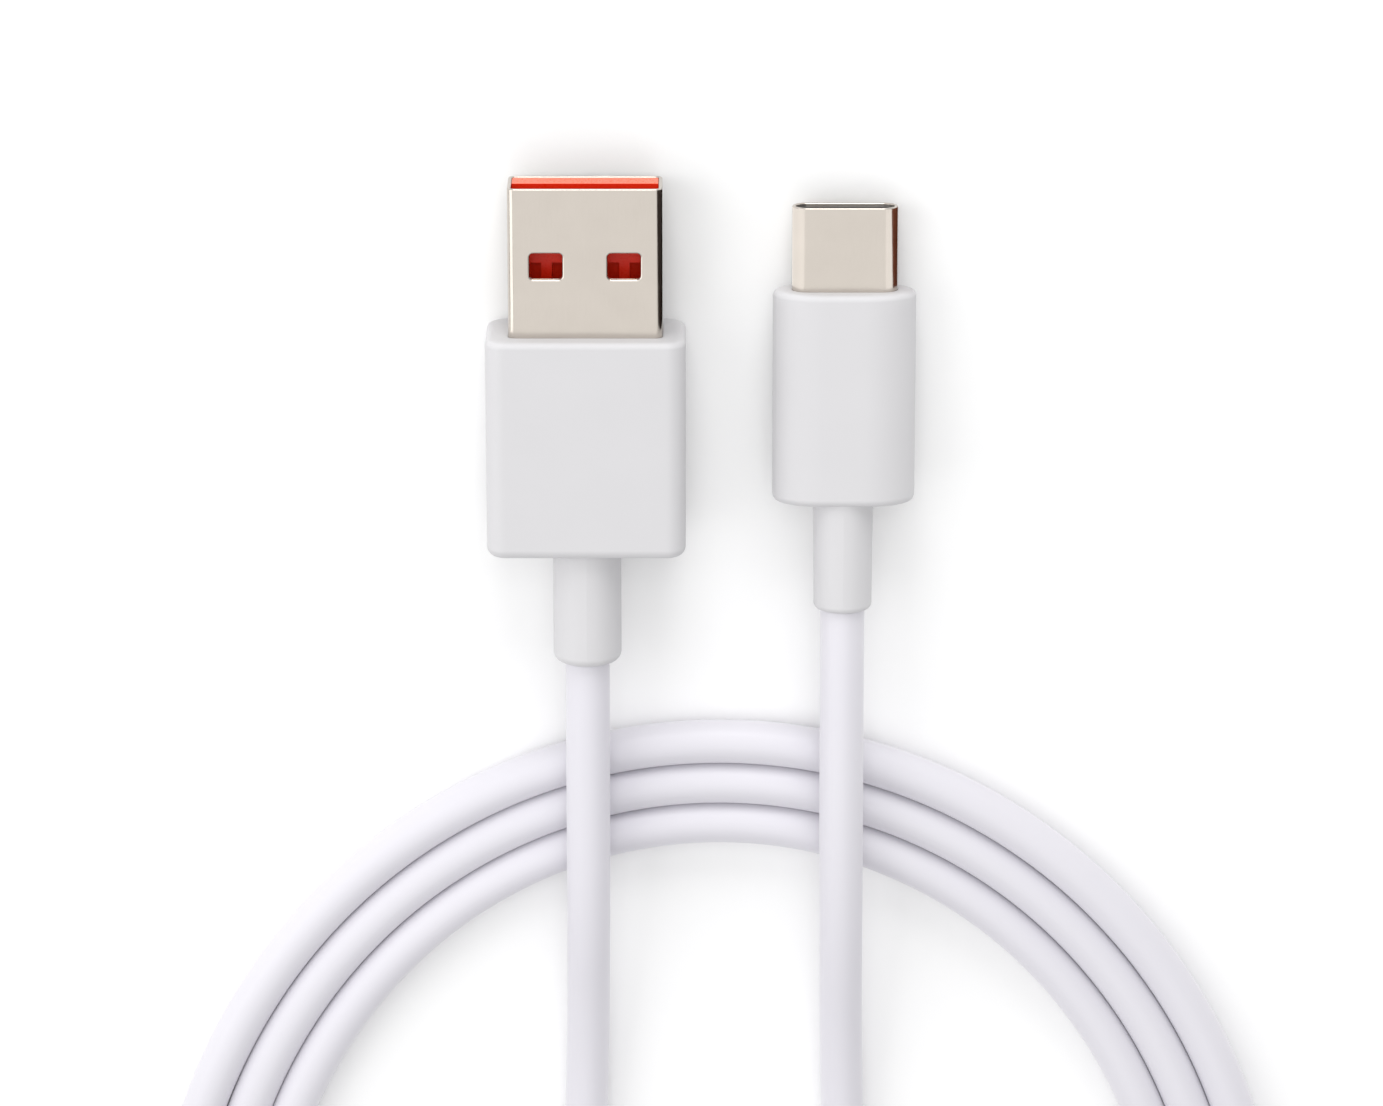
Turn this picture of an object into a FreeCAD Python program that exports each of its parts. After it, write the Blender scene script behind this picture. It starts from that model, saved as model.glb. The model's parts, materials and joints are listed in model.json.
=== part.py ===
import FreeCAD, Part
import math
import os

# USB-A to USB-C charging cable, lying on a table (z = 0) with its cord in a flat coil of three turns.
# +Y runs along the plugs towards their tips, +X to the right, +Z up.  Millimetres throughout.
# The origin is at the bottom centre of the box around the two plugs.

Vec = FreeCAD.Vector

# ---------------------------------------------------------------- driving dimensions: cord
cord_dia = 3.5
turn_gap = 0.25             # how far apart neighbouring turns lie
turns = 3
coil_centre = Vec(1.5, -79.3, 0)
coil_outer_x = 47.3         # half the coil's width
coil_outer_y = 52.9         # half its length: hand-wound, so a little oval
coil_edge_round = 1.55
jacket_wall = 0.5
wire_dia = 0.84
wire_pitch = 0.96           # square in which the four wires lie inside the jacket

# The cord from the USB-A plug: over the coil, down inside it and into its inner turn.
route_a = [
    (-9.0, -19.4, 5.61),
    (-9.0, -26.7, 6.06),
    (-9.05, -41.0, 6.05),
    (-9.2, -53.6, 2.5),
    (-9.6, -66.5, 1.75),
    (-9.9, -81.0, 1.75),
    (-9.6, -95.0, 1.75),
    (-4.1, -106.6, 1.75),
    (6.4, -113.8, 1.75),
    (19.0, -114.6, 1.75),
    (30.1, -108.3, 1.75),
]

# The cord from the outer turn: up over the coil's lower turns, back inside and over the top to USB-C.
route_c = [
    (-44.2, -71.5, 1.75),
    (-43.6, -86.5, 3.3),
    (-39.3, -100.4, 5.2),
    (-31.4, -111.6, 5.95),
    (-20.6, -118.6, 5.95),
    (-8.6, -120.2, 5.95),
    (2.6, -115.6, 5.95),
    (9.8, -106.2, 5.8),
    (12.6, -94.0, 4.0),
    (12.5, -81.0, 2.1),
    (12.0, -68.0, 1.75),
    (11.5, -56.0, 2.4),
    (11.3, -40.6, 6.35),
    (11.2, -25.7, 6.55),
    (11.2, -15.1, 5.43),
]
run_share = 0.45            # part of a run that each of its corner arcs may use

# ---------------------------------------------------------------- driving dimensions: fits
fit = 0.02                  # moulded or pressed together
slide = 0.05                # a spring piece in its slot
foil = 0.25                 # sheet of the rear shields

# ---------------------------------------------------------------- driving dimensions: USB-A plug
a_shell_w = 12.0
a_shell_h = 4.5
a_shell_wall = 0.3
a_shell_round = 0.55
a_shell_out = 11.87         # length of shell that stands out of the overmould
a_shell_in = 6.5
a_window_w = 2.55
a_window_l = 2.05
a_window_round = 0.3
a_window_x = 3.03
a_window_back = 6.15        # from the tip to the windows' centres
a_over_side = 1.8           # overmould beyond the shell at each side
a_over_face = 1.75          # and above and below it
a_over_w = a_shell_w + 2 * a_over_side
a_over_h = a_shell_h + 2 * a_over_face
a_over_l = 17.6
a_over_round = 1.8
a_relief_dia = 5.4
a_relief_l = 9.4
a_tongue_h = 1.95
a_tongue_back = 0.35        # how far the tongue stops short of the shell's tip
a_plug_depth = 8.6          # depth of the mouth in front of the tongue's solid rear block
a_contact_w = 1.0
a_contact_t = 0.3
a_contact_tail = 1.5        # bare tail behind the carrier, for the wire
a_carrier_l = 3.2
a_power_x = 3.5
a_data_x = 1.0
a_power_back = 1.3          # power contacts start nearer the tip, so they connect first
a_data_back = 2.3
a_wall = 1.1                # overmould's wall around the inner mould

# ---------------------------------------------------------------- driving dimensions: USB-C plug
c_shell_w = 8.25
c_shell_h = 2.4
c_shell_wall = 0.28
c_shell_out = 6.65
c_shell_in = 4.0
c_over_side = 1.475
c_over_face = 1.6
c_over_w = c_shell_w + 2 * c_over_side
c_over_h = c_shell_h + 2 * c_over_face
c_over_l = 17.0
c_relief_dia = 4.75
c_relief_l = 8.8
c_mouth_w = 6.76
c_mouth_h = 0.8
c_mouth_depth = 6.1
c_lip_back = 0.22           # how far the housing stops short of the shell's tip
c_contact_w = 0.28
c_contact_t = 0.16
c_contact_pitch = 0.5
c_upper_places = (-5.5, -2.5, -1.5, -0.5, 0.5, 2.5, 5.5)     # in pitches from the middle
c_lower_places = (-5.5, -2.5, -1.5, 2.5, 5.5)
c_beam_l = 4.5              # the sprung part of a contact
c_latch_t = 0.2
c_latch_h = 0.4
c_hook = 0.36
c_plate_t = 0.2
c_emi_l = 0.7
c_emi_t = 0.1
c_board_w = 7.6
c_board_t = 0.64
c_board_l = 6.2
c_power_x = 2.55            # solder pads on the board
c_data_x = 0.85
c_pad_l = 2.4
c_wall = 0.7

# ---------------------------------------------------------------- driving dimensions: both plugs
front_round = 0.5
rear_round = 1.0
relief_round = 0.9
braid_t = 0.1
ferrule_t = 0.15
ferrule_l = 2.7
crimp_room = 3.2            # jacket, braid and ferrule between the overmould's back and the inner mould
mould_end_wall = 0.5        # inner mould's rear wall, where the jacket ends
fan_gap = 0.9               # from the jacket's end to where the wires part

cord_r = cord_dia / 2


# ---------------------------------------------------------------- shapes
def bar(width, height, round_r, y0, y1):
    """A rounded rectangle in X and Z, drawn out along Y; a round of half the height makes a stadium."""
    half_w = width / 2
    half_h = height / 2
    flat_x = half_w - round_r
    flat_z = half_h - round_r
    skew = round_r * math.sqrt(0.5)
    edges = []
    corners = [(1, 1), (-1, 1), (-1, -1), (1, -1)]
    ends = []
    for sx, sz in corners:
        side = Vec(sx * half_w, y0, sz * flat_z)
        top = Vec(sx * flat_x, y0, sz * half_h)
        middle = Vec(sx * (flat_x + skew), y0, sz * (flat_z + skew))
        start, end = (side, top) if sx * sz > 0 else (top, side)
        edges.append(Part.Arc(start, middle, end).toShape())
        ends.append((start, end))
    for index, (start, end) in enumerate(ends):
        following = ends[(index + 1) % len(ends)][0]
        if end.distanceToPoint(following) > 1e-6:
            edges.append(Part.LineSegment(end, following).toShape())
    outline = Part.Wire(Part.__sortEdges__(edges))
    return Part.Face(outline).extrude(Vec(0, y1 - y0, 0))


def block(width, y0, y1, z0, z1, x=0.0):
    """A plain block, centred on x."""
    return Part.makeBox(width, y1 - y0, z1 - z0, Vec(x - width / 2, y0, z0))


def rod(radius, y0, y1):
    return Part.makeCylinder(radius, y1 - y0, Vec(0, y0, 0), Vec(0, 1, 0))


def sleeve(outer_r, inner_r, y0, y1):
    return rod(outer_r, y0, y1).cut(rod(inner_r, y0 - 1, y1 + 1))


def edges_at(shape, y):
    """The edges that lie in the plane at this y."""
    return [e for e in shape.Edges if abs(e.BoundBox.YMin - y) < 1e-6 and abs(e.BoundBox.YMax - y) < 1e-6]


def group(shapes):
    return Part.makeCompound(shapes)


# ---------------------------------------------------------------- the cord's path
def corner(before, point, after):
    """The tangent arc at a point of the route: its two ends, its middle and its radius."""
    run_in = point - before
    run_out = after - point
    reach = run_share * min(run_in.Length, run_out.Length)
    turn = run_in.getAngle(run_out)
    radius = reach / math.tan(turn / 2)
    start = point - run_in.normalize() * reach
    end = point + run_out.normalize() * reach
    inward = ((start + end) / 2 - point).normalize()
    middle = point + inward * (math.hypot(radius, reach) - radius)
    return start, middle, end, radius


def rounded_path(route):
    """Straight runs joined by tangent arcs, with the arcs' radii."""
    points = [Vec(*p) for p in route]
    edges = []
    radii = []
    here = points[0]
    for index in range(1, len(points) - 1):
        start, middle, end, radius = corner(points[index - 1], points[index], points[index + 1])
        edges.append(Part.LineSegment(here, start).toShape())
        edges.append(Part.Arc(start, middle, end).toShape())
        radii.append(radius)
        here = end
    edges.append(Part.LineSegment(here, points[-1]).toShape())
    return Part.Wire(edges), radii


def tube_along(route, radius):
    path, radii = rounded_path(route)
    first = Vec(*route[0])
    direction = Vec(*route[1]) - first
    ring = Part.Wire([Part.makeCircle(radius, first, direction)])
    return path.makePipeShell([ring], True, False), path.Length, radii


def cord_run(name, route):
    """One uncoiled stretch of the cord; its arcs' radii and its volume are printed as a check."""
    solid, length, radii = tube_along(route, cord_r)
    expected = math.pi * cord_r ** 2 * length
    print(name, "length %.1f mm, volume over section times length %.4f" % (length, solid.Volume / expected))
    print(name, "arc radii", " ".join("%.0f" % r for r in radii))
    return solid


def coil():
    """The three turns' outer shape, lying flat."""
    width_x = turns * cord_dia + (turns - 1) * turn_gap / 4
    width_y = turns * cord_dia + (turns - 1) * turn_gap
    outer = Part.Ellipse(coil_centre, coil_outer_y, coil_outer_x)
    inner = Part.Ellipse(coil_centre, coil_outer_y - width_y, coil_outer_x - width_x)
    solids = []
    for curve in (outer, inner):
        edge = curve.toShape()
        edge.rotate(coil_centre, Vec(0, 0, 1), 90)
        solids.append(Part.Face(Part.Wire([edge])).extrude(Vec(0, 0, cord_dia)))
    ring = solids[0].cut(solids[1])
    rims = [e for e in ring.Edges if e.BoundBox.ZLength < 1e-6]
    return ring.makeFillet(min(coil_edge_round, 0.45 * cord_dia), rims)


# ---------------------------------------------------------------- placing a plug on the cord's end
def rest_tilt(exit_height, length, half_height):
    """How far a plug's nose leans down, in degrees, when its front lower edge rests on the table."""
    along = length - front_round
    down = half_height - front_round
    lean = math.asin((exit_height - front_round) / math.hypot(along, down)) - math.atan2(down, along)
    return math.degrees(lean)


def place(shape, exit_point, tilt):
    """From the plug's own frame, whose origin is where the cord comes out, to its place on the table."""
    moved = shape.copy()
    moved.rotate(Vec(0, 0, 0), Vec(1, 0, 0), -tilt)
    moved.translate(exit_point)
    return moved


# ---------------------------------------------------------------- pieces that both plugs have
def overmould_body(width, height, round_r, y0, y1):
    body = bar(width, height, round_r, y0, y1)
    body = body.makeFillet(front_round, edges_at(body, y1))
    return body.makeFillet(rear_round, edges_at(body, y0))


def strain_relief(dia, length):
    body = rod(dia / 2, 0, length)
    body = body.makeFillet(min(relief_round, (dia / 2 - cord_r) * 0.8), edges_at(body, 0))
    return body.cut(rod(cord_r + fit, -1, length + 1))


def cord_end(end_y):
    return sleeve(cord_r, cord_r - jacket_wall, slide, end_y)


def ferrule_place(mould_y):
    """Where the crimp lies, just behind the inner mould."""
    return mould_y - fit - ferrule_l, mould_y - fit


def braid_r():
    return cord_r + fit + braid_t


def ferrule_r():
    return braid_r() + fit + ferrule_t


def crimp_pieces(mould_y):
    y0, y1 = ferrule_place(mould_y)
    braid = sleeve(braid_r(), cord_r + fit, y0, y1)
    ferrule = sleeve(ferrule_r(), braid_r() + fit, y0, y1)
    return braid, ferrule


def rear_bore(y0, mould_y):
    """What the jacket, braid and ferrule take out of an overmould."""
    crimp_y0, crimp_y1 = ferrule_place(mould_y)
    return rod(cord_r + fit, y0 - 1, mould_y + fit).fuse(rod(ferrule_r() + fit, crimp_y0 - fit, crimp_y1 + fit))


def shield_halves(width, height, round_r, y0, y1):
    """Upper and lower halves of the sheet can over the solder joints."""
    can = bar(width, height, round_r, y0, y1)
    can = can.cut(bar(width - 2 * foil, height - 2 * foil, max(round_r - foil, 0.1), y0 - 1, y1 + 1))
    upper = can.common(block(2 * width, y0, y1, fit, height))
    lower = can.common(block(2 * width, y0, y1, -height, -fit))
    return upper, lower


def wire_to(side_x, side_z, pad_x, pad_z, start_y, fan_y, pad_y, end_y):
    """One insulated wire from inside the jacket to its solder joint."""
    lay = wire_pitch / 2
    points = [
        (side_x * lay, start_y, side_z * lay),
        (side_x * lay, fan_y, side_z * lay),
        (pad_x, pad_y, pad_z),
        (pad_x, end_y, pad_z),
    ]
    return tube_along(points, wire_dia / 2)[0]


# ---------------------------------------------------------------- USB-A plug
def usb_a_pieces():
    """The plug's pieces in its own frame: y = 0 where the cord comes out, z = 0 at mid thickness."""
    over_y0 = a_relief_l
    over_y1 = over_y0 + a_over_l
    tip = over_y1 + a_shell_out
    shell_y0 = over_y1 - a_shell_in
    inside_w = a_shell_w - 2 * a_shell_wall
    inside_h = a_shell_h - 2 * a_shell_wall
    can_w = a_shell_w - 0.6
    can_h = a_shell_h - 0.1
    can_round = 0.5
    mould_w = min(a_over_w - 2 * a_wall, a_shell_w + 1.2)
    mould_h = min(a_over_h - 2 * a_wall, a_shell_h + 1.3)
    mould_y = over_y0 + crimp_room
    can_y = mould_y + mould_end_wall + fit
    pieces = {}

    shell = bar(a_shell_w, a_shell_h, a_shell_round, shell_y0, tip)
    shell = shell.cut(bar(inside_w, inside_h, a_shell_round - a_shell_wall, shell_y0 - 1, tip + 1))
    for side in (-1, 1):
        opening = block(a_window_w, tip - a_window_back - a_window_l / 2, tip - a_window_back + a_window_l / 2,
                        -a_shell_h, a_shell_h, side * a_window_x)
        uprights = [e for e in opening.Edges if e.BoundBox.ZLength > a_shell_h]
        shell = shell.cut(opening.makeFillet(a_window_round, uprights))
    pieces["usb_a_shell"] = shell

    floor_z = -inside_h / 2 + fit
    tongue_top = floor_z + a_tongue_h
    contact_z = tongue_top - a_contact_t
    tongue_front = tip - a_tongue_back
    mouth_back = tip - a_plug_depth
    inside_round = a_shell_round - a_shell_wall
    fill = bar(inside_w - 2 * fit, inside_h - 2 * fit, inside_round, shell_y0 + fit, tongue_front)
    mouth = block(a_shell_w, mouth_back, tip + 1, tongue_top, a_shell_h)
    tongue = fill.cut(mouth)
    carrier_y0 = shell_y0 - a_carrier_l
    carrier_h = can_h - 2 * foil - 4 * fit
    tail_y = carrier_y0 - a_contact_tail
    carrier = bar(can_w - 2 * foil - 4 * fit, carrier_h, can_round, carrier_y0, shell_y0 - fit)
    contacts = {
        "power": (-a_power_x, a_power_back),
        "data_minus": (-a_data_x, a_data_back),
        "data_plus": (a_data_x, a_data_back),
        "ground": (a_power_x, a_power_back),
    }
    for name, (x, back) in contacts.items():
        contact = block(a_contact_w, tail_y, tip - back, contact_z, contact_z + a_contact_t, x)
        channel = block(a_contact_w + 2 * fit, tail_y, tip - back + fit,
                        contact_z - fit, contact_z + a_contact_t + fit, x)
        tongue = tongue.cut(channel)
        carrier = carrier.cut(channel)
        pieces["usb_a_contact_" + name] = contact
    pieces["usb_a_tongue"] = tongue
    pieces["usb_a_contact_carrier"] = carrier

    upper, lower = shield_halves(can_w, can_h, can_round, can_y, shell_y0 - fit)
    pieces["usb_a_shield_upper"] = upper
    pieces["usb_a_shield_lower"] = lower

    jacket_end = mould_y + mould_end_wall
    pieces["usb_a_cord_end"] = cord_end(jacket_end)
    braid, ferrule = crimp_pieces(mould_y)
    pieces["usb_a_braid"] = braid
    pieces["usb_a_ferrule"] = ferrule

    pad_z = contact_z + a_contact_t + fit + wire_dia / 2
    wires = {
        "red": (-1, -1, -a_power_x),
        "white": (-1, 1, -a_data_x),
        "green": (1, 1, a_data_x),
        "black": (1, -1, a_power_x),
    }
    for name, (side_x, side_z, pad_x) in wires.items():
        pieces["usb_a_wire_" + name] = wire_to(side_x, side_z, pad_x, pad_z, over_y0, jacket_end + fan_gap,
                                               tail_y - wire_dia / 2, carrier_y0 - 3 * fit)

    can = bar(can_w + 2 * fit, can_h + 2 * fit, can_round, can_y - fit, shell_y0)
    mould = bar(mould_w, mould_h, 0.8, mould_y, shell_y0 - fit)
    pieces["usb_a_inner_mould"] = mould.cut(can).cut(rod(cord_r + fit, mould_y - 1, can_y))

    over = overmould_body(a_over_w, a_over_h, a_over_round, over_y0 + fit, over_y1)
    over = over.cut(bar(mould_w + 2 * fit, mould_h + 2 * fit, 0.8, mould_y - fit, shell_y0))
    over = over.cut(bar(a_shell_w + 2 * fit, a_shell_h + 2 * fit, a_shell_round, shell_y0 - fit, over_y1 + 1))
    pieces["usb_a_overmould"] = over.cut(rear_bore(over_y0, mould_y))
    pieces["usb_a_strain_relief"] = strain_relief(a_relief_dia, a_relief_l)
    return pieces


# ---------------------------------------------------------------- USB-C plug
def usb_c_contact_row(places, sign, y0, y1, z0, z1, extra=0.0):
    """Strips at their places in one row; sign is 1 above the middle and -1 below it."""
    low, high = sorted((sign * z0, sign * z1))
    strips = []
    for place_in_row in places:
        strips.append(block(c_contact_w + 2 * extra, y0, y1, low, high, place_in_row * c_contact_pitch))
    return strips


def usb_c_latch(side, root_y, tip_y):
    """One sprung side arm with the hook that catches the socket."""
    inner_x = c_mouth_w / 2 + slide
    arm = block(c_latch_t, root_y, tip_y, -c_latch_h / 2, c_latch_h / 2, side * (inner_x + c_latch_t / 2))
    hook = block(c_hook, tip_y - 0.7, tip_y, -c_latch_h / 2, c_latch_h / 2, side * (inner_x - c_hook / 2))
    nose = [e for e in hook.Edges if e.BoundBox.ZLength > c_latch_h / 2 and side * e.BoundBox.Center.x < inner_x - 0.1]
    return arm.fuse(hook.makeFillet(0.2, nose)).removeSplitter()


def usb_c_pieces():
    """The plug's pieces in its own frame, as for USB-A."""
    over_y0 = c_relief_l
    over_y1 = over_y0 + c_over_l
    tip = over_y1 + c_shell_out
    shell_y0 = over_y1 - c_shell_in
    inside_w = c_shell_w - 2 * c_shell_wall
    inside_h = c_shell_h - 2 * c_shell_wall
    can_w = c_shell_w + 0.35
    can_h = c_shell_h + 0.6
    mould_w = c_over_w - 2 * c_wall
    mould_h = c_over_h - 2 * c_wall
    mould_y = over_y0 + crimp_room
    can_y = mould_y + mould_end_wall + fit
    pieces = {}

    shell = bar(c_shell_w, c_shell_h, c_shell_h / 2, shell_y0, tip)
    pieces["usb_c_shell"] = shell.cut(bar(inside_w, inside_h, inside_h / 2, shell_y0 - 1, tip + 1))

    mouth_back = tip - c_mouth_depth
    lip = tip - c_lip_back
    housing = bar(inside_w - 2 * fit, inside_h - 2 * fit, inside_h / 2 - fit, shell_y0 + fit, lip)
    housing = housing.cut(block(c_mouth_w, mouth_back, tip + 1, -c_mouth_h / 2, c_mouth_h / 2))

    beam_root = mouth_back + 0.3
    beam_tip = beam_root + c_beam_l
    beam_z = c_mouth_h / 2 - c_contact_t / 2
    tail_end = shell_y0 - 1.3
    emi_y = beam_tip + 0.25
    rows = {"upper": (1, c_upper_places), "lower": (-1, c_lower_places)}
    for row, (sign, places) in rows.items():
        beams = usb_c_contact_row(places, sign, beam_root, beam_tip, beam_z, beam_z + c_contact_t)
        tails = usb_c_contact_row(places, sign, tail_end, beam_root - slide, beam_z, beam_z + c_contact_t)
        slots = usb_c_contact_row(places, sign, mouth_back - fit, beam_tip + slide, 0, inside_h, slide)
        tunnels = usb_c_contact_row(places, sign, shell_y0 - 1, mouth_back + fit, beam_z - fit,
                                    beam_z + c_contact_t + fit, fit)
        for gap in slots + tunnels:
            housing = housing.cut(gap)
        pieces["usb_c_contacts_" + row] = group(beams)
        pieces["usb_c_contact_tails_" + row] = group(tails)

        spring_w = c_mouth_w - 1.4
        low, high = sorted((sign * (c_mouth_h / 2), sign * (c_mouth_h / 2 + c_emi_t)))
        pieces["usb_c_ground_spring_" + row] = block(spring_w, emi_y, emi_y + c_emi_l, low, high)
        low, high = sorted((0, sign * (c_mouth_h / 2 + c_emi_t + fit)))
        housing = housing.cut(block(spring_w + 2 * fit, emi_y - fit, emi_y + c_emi_l + fit, low, high))

    for name, side in (("left", -1), ("right", 1)):
        pieces["usb_c_latch_" + name] = usb_c_latch(side, beam_root, beam_tip)
        slot_w = inside_w / 2 - c_mouth_w / 2 + 1
        slot_x = side * (c_mouth_w / 2 - 1 + (slot_w + 1) / 2)
        housing = housing.cut(block(slot_w + 1, mouth_back, beam_tip + slide,
                                    -c_latch_h / 2 - slide, c_latch_h / 2 + slide, slot_x))

    plate_w = c_mouth_w - 0.2
    plate_y0 = shell_y0 + 0.8
    pieces["usb_c_middle_plate"] = block(plate_w, plate_y0, mouth_back - fit, -c_plate_t / 2, c_plate_t / 2)
    housing = housing.cut(block(plate_w + 2 * fit, plate_y0 - fit, mouth_back + fit,
                                -c_plate_t / 2 - fit, c_plate_t / 2 + fit))
    pieces["usb_c_housing"] = housing

    board_y1 = shell_y0 - 0.3
    board_y0 = board_y1 - c_board_l
    board_h = min(c_board_t, 2 * (beam_z - fit))
    top = board_h / 2
    pieces["usb_c_board"] = block(c_board_w, board_y0, board_y1, -top, top)
    pieces["usb_c_resistor"] = block(0.5, board_y0 + 3.0, board_y0 + 4.0, top + fit, top + fit + 0.35, -2.6)
    pieces["usb_c_capacitor"] = block(0.8, board_y0 + 2.9, board_y0 + 4.1, top + fit, top + fit + 0.6, 2.5)

    upper, lower = shield_halves(can_w, can_h, 1.2, can_y, shell_y0 - fit)
    pieces["usb_c_shield_upper"] = upper
    pieces["usb_c_shield_lower"] = lower

    jacket_end = mould_y + mould_end_wall
    pieces["usb_c_cord_end"] = cord_end(jacket_end)
    braid, ferrule = crimp_pieces(mould_y)
    pieces["usb_c_braid"] = braid
    pieces["usb_c_ferrule"] = ferrule

    pad_z = top + fit + wire_dia / 2
    wires = {
        "red": (-1, -1, -c_power_x),
        "white": (-1, 1, -c_data_x),
        "green": (1, 1, c_data_x),
        "black": (1, -1, c_power_x),
    }
    for name, (side_x, side_z, pad_x) in wires.items():
        pieces["usb_c_wire_" + name] = wire_to(side_x, side_z, pad_x, pad_z, over_y0, jacket_end + fan_gap,
                                               board_y0 - wire_dia, board_y0 + c_pad_l)

    can = bar(can_w + 2 * fit, can_h + 2 * fit, 1.2, can_y - fit, shell_y0)
    mould = bar(mould_w, mould_h, mould_h / 2, mould_y, shell_y0 - fit)
    pieces["usb_c_inner_mould"] = mould.cut(can).cut(rod(cord_r + fit, mould_y - 1, can_y))

    over = overmould_body(c_over_w, c_over_h, c_over_h / 2 - 0.01, over_y0 + fit, over_y1)
    over = over.cut(bar(mould_w + 2 * fit, mould_h + 2 * fit, mould_h / 2 + fit, mould_y - fit, shell_y0))
    over = over.cut(bar(c_shell_w + 2 * fit, c_shell_h + 2 * fit, c_shell_h / 2 + fit, shell_y0 - fit, over_y1 + 1))
    pieces["usb_c_overmould"] = over.cut(rear_bore(over_y0, mould_y))
    pieces["usb_c_strain_relief"] = strain_relief(c_relief_dia, c_relief_l)
    return pieces


# ---------------------------------------------------------------- the whole cable
def main():
    os.makedirs("parts", exist_ok=True)
    nodes = {}
    a_exit = Vec(*route_a[0])
    c_exit = Vec(*route_c[-1])
    a_tilt = rest_tilt(a_exit.z, a_relief_l + a_over_l, a_over_h / 2)
    c_tilt = rest_tilt(c_exit.z, c_relief_l + c_over_l, c_over_h / 2)
    print("plug tilts: USB-A %.3f, USB-C %.3f degrees" % (a_tilt, c_tilt))
    for name, shape in usb_a_pieces().items():
        nodes[name] = place(shape, a_exit, a_tilt)
    for name, shape in usb_c_pieces().items():
        nodes[name] = place(shape, c_exit, c_tilt)
    nodes["cord_run_to_usb_a"] = cord_run("cord_run_to_usb_a", route_a)
    nodes["cord_coil"] = coil()
    nodes["cord_run_to_usb_c"] = cord_run("cord_run_to_usb_c", route_c)

    for name, shape in nodes.items():
        if not shape.isValid():
            print("NOT VALID:", name)
        shape.exportStep("parts/" + name + ".step")
    print(len(nodes), "nodes written")


main()
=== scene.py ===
# %% [markdown]
# A phone charging cable, told as a lesson in Blender. The cable lies on a table: a white cord wound into
# a flat coil of three turns, with a USB-A plug on one end and a USB-C plug on the other. The hard pieces
# come in ready-made and stay exactly where they are. What is made here is what the eye needs: the soft
# cord, the moulded grips, the formed metal and every finish.

# %% Load the ready-made pieces
import bmesh
import bpy
import json
import math
from mathutils import Matrix, Vector

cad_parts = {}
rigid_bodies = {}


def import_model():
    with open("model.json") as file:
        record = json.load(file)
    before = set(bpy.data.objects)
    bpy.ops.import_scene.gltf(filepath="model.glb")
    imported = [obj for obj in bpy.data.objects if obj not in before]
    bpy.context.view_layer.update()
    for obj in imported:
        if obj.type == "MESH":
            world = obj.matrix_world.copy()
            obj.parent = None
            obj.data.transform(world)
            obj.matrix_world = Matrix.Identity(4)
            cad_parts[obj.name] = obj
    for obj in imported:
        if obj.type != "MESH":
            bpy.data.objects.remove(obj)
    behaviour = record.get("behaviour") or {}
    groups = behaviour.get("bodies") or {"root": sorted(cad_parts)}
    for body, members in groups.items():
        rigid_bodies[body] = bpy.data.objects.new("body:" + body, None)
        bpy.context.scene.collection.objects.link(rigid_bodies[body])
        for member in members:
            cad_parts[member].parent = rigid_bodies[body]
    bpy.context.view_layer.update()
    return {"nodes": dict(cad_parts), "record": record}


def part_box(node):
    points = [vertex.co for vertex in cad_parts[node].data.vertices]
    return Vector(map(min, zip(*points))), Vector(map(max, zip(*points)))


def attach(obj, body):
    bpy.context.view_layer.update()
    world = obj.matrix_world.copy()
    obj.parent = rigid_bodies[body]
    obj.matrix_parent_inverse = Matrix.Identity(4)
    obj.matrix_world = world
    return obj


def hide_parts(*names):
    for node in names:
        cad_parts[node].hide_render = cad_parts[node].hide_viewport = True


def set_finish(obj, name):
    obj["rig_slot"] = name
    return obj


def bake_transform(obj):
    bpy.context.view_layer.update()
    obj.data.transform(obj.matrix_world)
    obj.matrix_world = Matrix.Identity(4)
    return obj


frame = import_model()
print("pieces loaded:", len(frame["nodes"]))

# %% Millimetres
MM = 0.001


def mm(x, y, z):
    """A point given in millimetres, as Blender's metres."""
    return Vector((x, y, z)) * MM


# %% [markdown]
# The camera looks down on the table like a product photographer's, a long way up with a long lens so that
# lines stay nearly parallel. It leans a little towards the plugs' tips, which shows the end of each plug
# and the thickness of its grip. The lens follows from the width of table that it has to take in.

# %% Camera
CAMERA_LEAN = math.radians(21)
CAMERA_DISTANCE = 450 * MM
VIEW_WIDTH = 110.6 * MM

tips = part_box("usb_a_shell")[1].y
target = Vector((-0.75 * MM, tips - 32.1 * MM, 0))
away = Vector((0, math.sin(CAMERA_LEAN), math.cos(CAMERA_LEAN)))
camera_data = bpy.data.cameras.new("camera")
camera_data.sensor_width = 36
camera_data.lens = camera_data.sensor_width * CAMERA_DISTANCE / VIEW_WIDTH
camera = bpy.data.objects.new("camera", camera_data)
camera.location = target + away * CAMERA_DISTANCE
camera.rotation_euler = (-CAMERA_LEAN, 0, 0)
bpy.context.collection.objects.link(camera)
bpy.context.scene.camera = camera
print("lens %.0f mm" % camera_data.lens)

# %% [markdown]
# The cord is one length of flexible cable, about 1.04 m. It is drawn as a designer would lay it: a list
# of guide points for the two free stretches, and a loop for the turns. A smooth spline pulled along these
# points bends everywhere a little and nowhere sharply, as a springy cable does. Each stretch climbs over
# the coil in a long low hump, because a cord can't pass through itself.

# %% The cord's guide points, in millimetres
CORD_DIAMETER = 3.5
TURN_GAP = 0.0              # neighbouring turns lie against each other
TURNS = 3
COIL_CENTRE = (1.5, -79.3)
COIL_HALF = (47.3, 52.9)

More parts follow.
